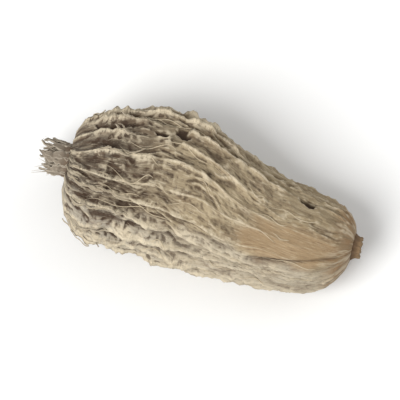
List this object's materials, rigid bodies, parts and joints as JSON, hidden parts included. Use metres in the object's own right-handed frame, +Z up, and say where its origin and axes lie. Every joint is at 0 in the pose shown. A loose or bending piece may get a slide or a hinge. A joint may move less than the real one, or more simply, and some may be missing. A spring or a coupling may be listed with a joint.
{
  "type": "black cardamom pod",
  "caption": "Dried ribbed seed pod lying on its side, with a frayed withered flower end and a broken stalk stub.",
  "frame": {"origin": "on the surface that the pod rests on, under the middle of the pod's box", "axes": "+X along the pod towards its stalk, +Z up from the surface, +Y across the pod"},
  "size_m": [0.0318, 0.0152, 0.0117],
  "materials": {
    "husk": "dull, fibrous, dusty in the furrows and pale along the ribs",
    "calyx": "dull, papery and frayed",
    "stalk": "dull, with a torn fibrous end"
  },
  "bodies": {
    "root": {"husk": "husk", "calyx": "calyx", "stalk": "stalk"}
  },
  "joints": []
}
